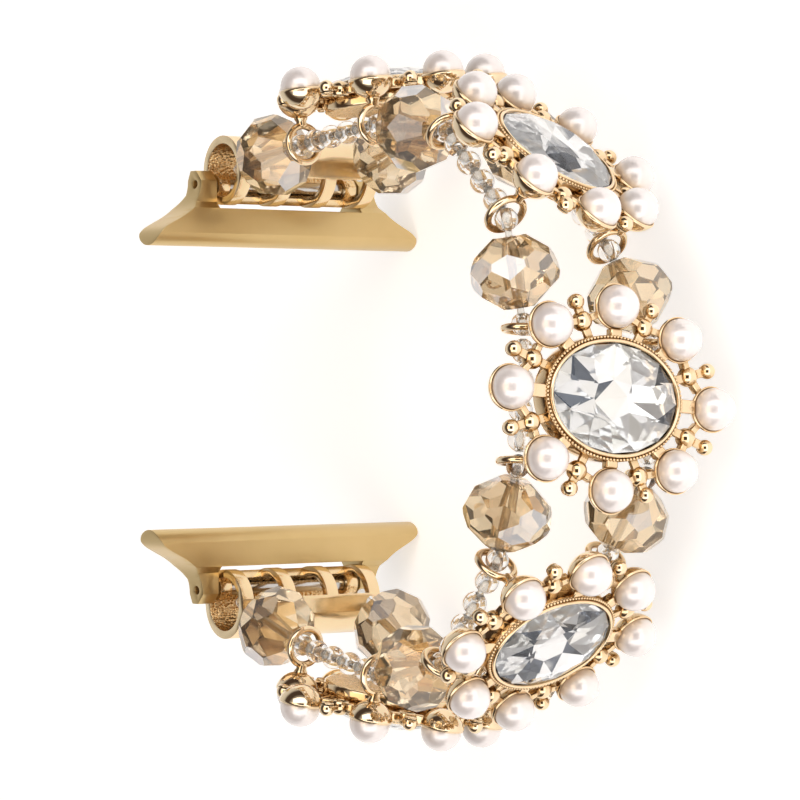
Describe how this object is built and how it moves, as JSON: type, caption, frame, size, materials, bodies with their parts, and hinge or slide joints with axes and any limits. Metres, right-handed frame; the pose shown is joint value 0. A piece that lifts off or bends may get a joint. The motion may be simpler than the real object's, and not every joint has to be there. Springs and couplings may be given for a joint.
{
  "type": "elastic bead watch band",
  "caption": "Elastic bead watch band: five oval crystal flowers ringed with pearls on two cords with faceted beads, and slide-in end adapters.",
  "frame": {"origin": "under the middle of the standing band, on the surface that it stands on", "axes": "+Z across the band towards the crown side of the host, +X from the adapters towards the third flower, +Y from the lower end to the upper end"},
  "size_m": [0.0708, 0.0816, 0.0384],
  "materials": {
    "satin_gold": "satin gold plate",
    "connector_gold": "satin gold plate with textured inside",
    "polished_gold": "polished gold plate",
    "crystal": "clear faceted oval crystal",
    "pearl": "white pearl lustre",
    "clear_seed": "clear glass seed bead",
    "clear_cord": "clear elastic cord",
    "champagne_bead": "champagne coated faceted glass",
    "steel": "bright steel"
  },
  "bodies": {
    "flower_1": {"flower_casting_1": "polished_gold", "flower_crystal_1": "crystal", "flower_pearls_1": "pearl", "back_seeds_1": "clear_seed", "back_cords_1": "clear_cord"},
    "flower_2": {"flower_casting_2": "polished_gold", "flower_crystal_2": "crystal", "flower_pearls_2": "pearl", "back_seeds_2": "clear_seed", "back_cords_2": "clear_cord"},
    "flower_3": {"flower_casting_3": "polished_gold", "flower_crystal_3": "crystal", "flower_pearls_3": "pearl", "back_seeds_3": "clear_seed", "back_cords_3": "clear_cord"},
    "flower_4": {"flower_casting_4": "polished_gold", "flower_crystal_4": "crystal", "flower_pearls_4": "pearl", "back_seeds_4": "clear_seed", "back_cords_4": "clear_cord"},
    "flower_5": {"flower_casting_5": "polished_gold", "flower_crystal_5": "crystal", "flower_pearls_5": "pearl", "back_seeds_5": "clear_seed", "back_cords_5": "clear_cord"},
    "gap_1": {"gap_seeds_1": "clear_seed", "gap_cords_1": "clear_cord"},
    "bead_1_crown": {"big_bead_1_crown": "champagne_bead"},
    "bead_1_base": {"big_bead_1_base": "champagne_bead"},
    "gap_2": {"gap_seeds_2": "clear_seed", "gap_cords_2": "clear_cord"},
    "bead_2_crown": {"big_bead_2_crown": "champagne_bead"},
    "bead_2_base": {"big_bead_2_base": "champagne_bead"},
    "gap_3": {"gap_seeds_3": "clear_seed", "gap_cords_3": "clear_cord"},
    "bead_3_crown": {"big_bead_3_crown": "champagne_bead"},
    "bead_3_base": {"big_bead_3_base": "champagne_bead"},
    "gap_4": {"gap_seeds_4": "clear_seed", "gap_cords_4": "clear_cord"},
    "bead_4_crown": {"big_bead_4_crown": "champagne_bead"},
    "bead_4_base": {"big_bead_4_base": "champagne_bead"},
    "gap_5": {"gap_seeds_5": "clear_seed", "gap_cords_5": "clear_cord"},
    "bead_5_crown": {"big_bead_5_crown": "champagne_bead"},
    "bead_5_base": {"big_bead_5_base": "champagne_bead"},
    "gap_6": {"gap_seeds_6": "clear_seed", "gap_cords_6": "clear_cord"},
    "bead_6_crown": {"big_bead_6_crown": "champagne_bead"},
    "bead_6_base": {"big_bead_6_base": "champagne_bead"},
    "connector_upper": {"end_connector_upper": "connector_gold"},
    "adapter_upper": {"adapter_upper": "satin_gold", "spring_bar_tube_upper": "steel", "spring_bar_spring_upper": "steel"},
    "plunger_upper": {"spring_bar_plunger_upper": "steel"},
    "connector_lower": {"end_connector_lower": "connector_gold"},
    "adapter_lower": {"adapter_lower": "satin_gold", "spring_bar_tube_lower": "steel", "spring_bar_spring_lower": "steel"},
    "plunger_lower": {"spring_bar_plunger_lower": "steel"}
  },
  "joints": [
    {"name": "gap_3_swing", "type": "hinge", "parent": "flower_3", "child": "gap_3", "pos_m": [0.02563, 0.00705, 0.01784], "axis": [0.0946, -0.0974, -0.9907], "range_deg": [-3, 7.6]},
    {"name": "flower_2_swing", "type": "hinge", "parent": "gap_3", "child": "flower_2", "pos_m": [0.02311, 0.01879, 0.02014], "axis": [-0.1625, -0.1792, -0.9703], "range_deg": [-3, 35.7]},
    {"name": "gap_2_swing", "type": "hinge", "parent": "flower_2", "child": "gap_2", "pos_m": [0.01245, 0.02846, 0.02014], "axis": [-0.1625, -0.1792, -0.9703], "range_deg": [-3, 27]},
    {"name": "flower_1_swing", "type": "hinge", "parent": "gap_2", "child": "flower_1", "pos_m": [-0.00164, 0.03229, 0.01865], "axis": [-0.0238, 0.0678, -0.9974], "range_deg": [-3, 20.5]},
    {"name": "gap_1_swing", "type": "hinge", "parent": "flower_1", "child": "gap_1", "pos_m": [-0.01598, 0.03094, 0.0189], "axis": [-0.0238, 0.0678, -0.9974], "range_deg": [-3, 8.4]},
    {"name": "gap_4_swing", "type": "hinge", "parent": "flower_3", "child": "gap_4", "pos_m": [0.02662, -0.00724, 0.01934], "axis": [-0.0946, 0.0974, 0.9907], "range_deg": [-3, 33.8]},
    {"name": "flower_4_swing", "type": "hinge", "parent": "gap_4", "child": "flower_4", "pos_m": [0.0208, -0.01761, 0.01925], "axis": [0.1006, -0.0139, 0.9948], "range_deg": [-3, 9.6]},
    {"name": "gap_5_swing", "type": "hinge", "parent": "flower_4", "child": "gap_5", "pos_m": [0.01182, -0.02885, 0.02], "axis": [0.1006, -0.0139, 0.9948], "range_deg": [-3, 38.2]},
    {"name": "flower_5_swing", "type": "hinge", "parent": "gap_5", "child": "flower_5", "pos_m": [-0.00241, -0.0321, 0.01828], "axis": [0.0515, 0.0974, 0.9939], "range_deg": [-3, 22.3]},
    {"name": "gap_6_swing", "type": "hinge", "parent": "flower_5", "child": "gap_6", "pos_m": [-0.0166, -0.0297, 0.01878], "axis": [0.0515, 0.0974, 0.9939], "range_deg": [-3, 16.6]},
    {"name": "connector_upper_swing", "type": "hinge", "parent": "gap_1", "child": "connector_upper", "pos_m": [-0.02667, 0.02833, 0.0192], "axis": [0, 0, -1], "range_deg": [-18.7, 21.3]},
    {"name": "connector_lower_swing", "type": "hinge", "parent": "gap_6", "child": "connector_lower", "pos_m": [-0.02667, -0.02479, 0.0192], "axis": [0, 0, 1], "range_deg": [-31, 9]},
    {"name": "adapter_upper_tilt", "type": "hinge", "parent": "connector_upper", "child": "adapter_upper", "pos_m": [-0.03238, 0.02631, 0.0192], "axis": [0, 0, -1], "range_deg": [-7, 40]},
    {"name": "plunger_upper_press", "type": "slide", "parent": "adapter_upper", "child": "plunger_upper", "axis": [0, 0, -1], "range_m": [0, 0.0013], "stiffness_N_per_m": 400, "springref_m": -0.0006, "deforming": ["spring_bar_spring_upper"]},
    {"name": "adapter_lower_tilt", "type": "hinge", "parent": "connector_lower", "child": "adapter_lower", "pos_m": [-0.03238, -0.02277, 0.0192], "axis": [0, 0, 1], "range_deg": [-7, 40]},
    {"name": "plunger_lower_press", "type": "slide", "parent": "adapter_lower", "child": "plunger_lower", "axis": [0, 0, -1], "range_m": [0, 0.0013], "stiffness_N_per_m": 400, "springref_m": -0.0006, "deforming": ["spring_bar_spring_lower"]},
    {"name": "bead_1_crown_spin", "type": "hinge", "parent": "gap_1", "child": "bead_1_crown", "pos_m": [-0.02147, 0.02931, 0.02765], "axis": [0.9809, 0.1834, -0.0653], "continuous": true},
    {"name": "bead_1_base_spin", "type": "hinge", "parent": "gap_1", "child": "bead_1_base", "pos_m": [-0.02173, 0.02983, 0.01046], "axis": [0.957, 0.2898, 0.0109], "continuous": true},
    {"name": "bead_2_crown_spin", "type": "hinge", "parent": "gap_2", "child": "bead_2_crown", "pos_m": [0.0075, 0.03069, 0.02776], "axis": [0.9901, -0.1138, 0.0818], "continuous": true},
    {"name": "bead_2_base_spin", "type": "hinge", "parent": "gap_2", "child": "bead_2_base", "pos_m": [0.00581, 0.02936, 0.01129], "axis": [0.903, -0.4125, 0.1199], "continuous": true},
    {"name": "bead_3_crown_spin", "type": "hinge", "parent": "gap_3", "child": "bead_3_crown", "pos_m": [0.02466, 0.01408, 0.02722], "axis": [0.0282, -0.9853, -0.1687], "continuous": true},
    {"name": "bead_3_base_spin", "type": "hinge", "parent": "gap_3", "child": "bead_3_base", "pos_m": [0.02409, 0.01176, 0.01075], "axis": [0.3818, -0.902, -0.2017], "continuous": true},
    {"name": "bead_4_crown_spin", "type": "hinge", "parent": "gap_4", "child": "bead_4_crown", "pos_m": [0.02373, -0.01207, 0.02763], "axis": [-0.3469, -0.9379, -0.0041], "continuous": true},
    {"name": "bead_4_base_spin", "type": "hinge", "parent": "gap_4", "child": "bead_4_base", "pos_m": [0.02368, -0.01277, 0.01095], "axis": [-0.6201, -0.7845, -0.0098], "continuous": true},
    {"name": "bead_5_crown_spin", "type": "hinge", "parent": "gap_5", "child": "bead_5_crown", "pos_m": [0.00664, -0.02992, 0.02765], "axis": [-0.981, -0.1557, -0.116], "continuous": true},
    {"name": "bead_5_base_spin", "type": "hinge", "parent": "gap_5", "child": "bead_5_base", "pos_m": [0.00532, -0.03044, 0.01094], "axis": [-0.9502, -0.2884, -0.118], "continuous": true},
    {"name": "bead_6_crown_spin", "type": "hinge", "parent": "gap_6", "child": "bead_6_crown", "pos_m": [-0.02156, -0.02678, 0.02758], "axis": [-0.929, 0.3621, 0.0771], "continuous": true},
    {"name": "bead_6_base_spin", "type": "hinge", "parent": "gap_6", "child": "bead_6_base", "pos_m": [-0.02202, -0.02756, 0.01041], "axis": [-0.8596, 0.511, -0.0027], "continuous": true}
  ]
}
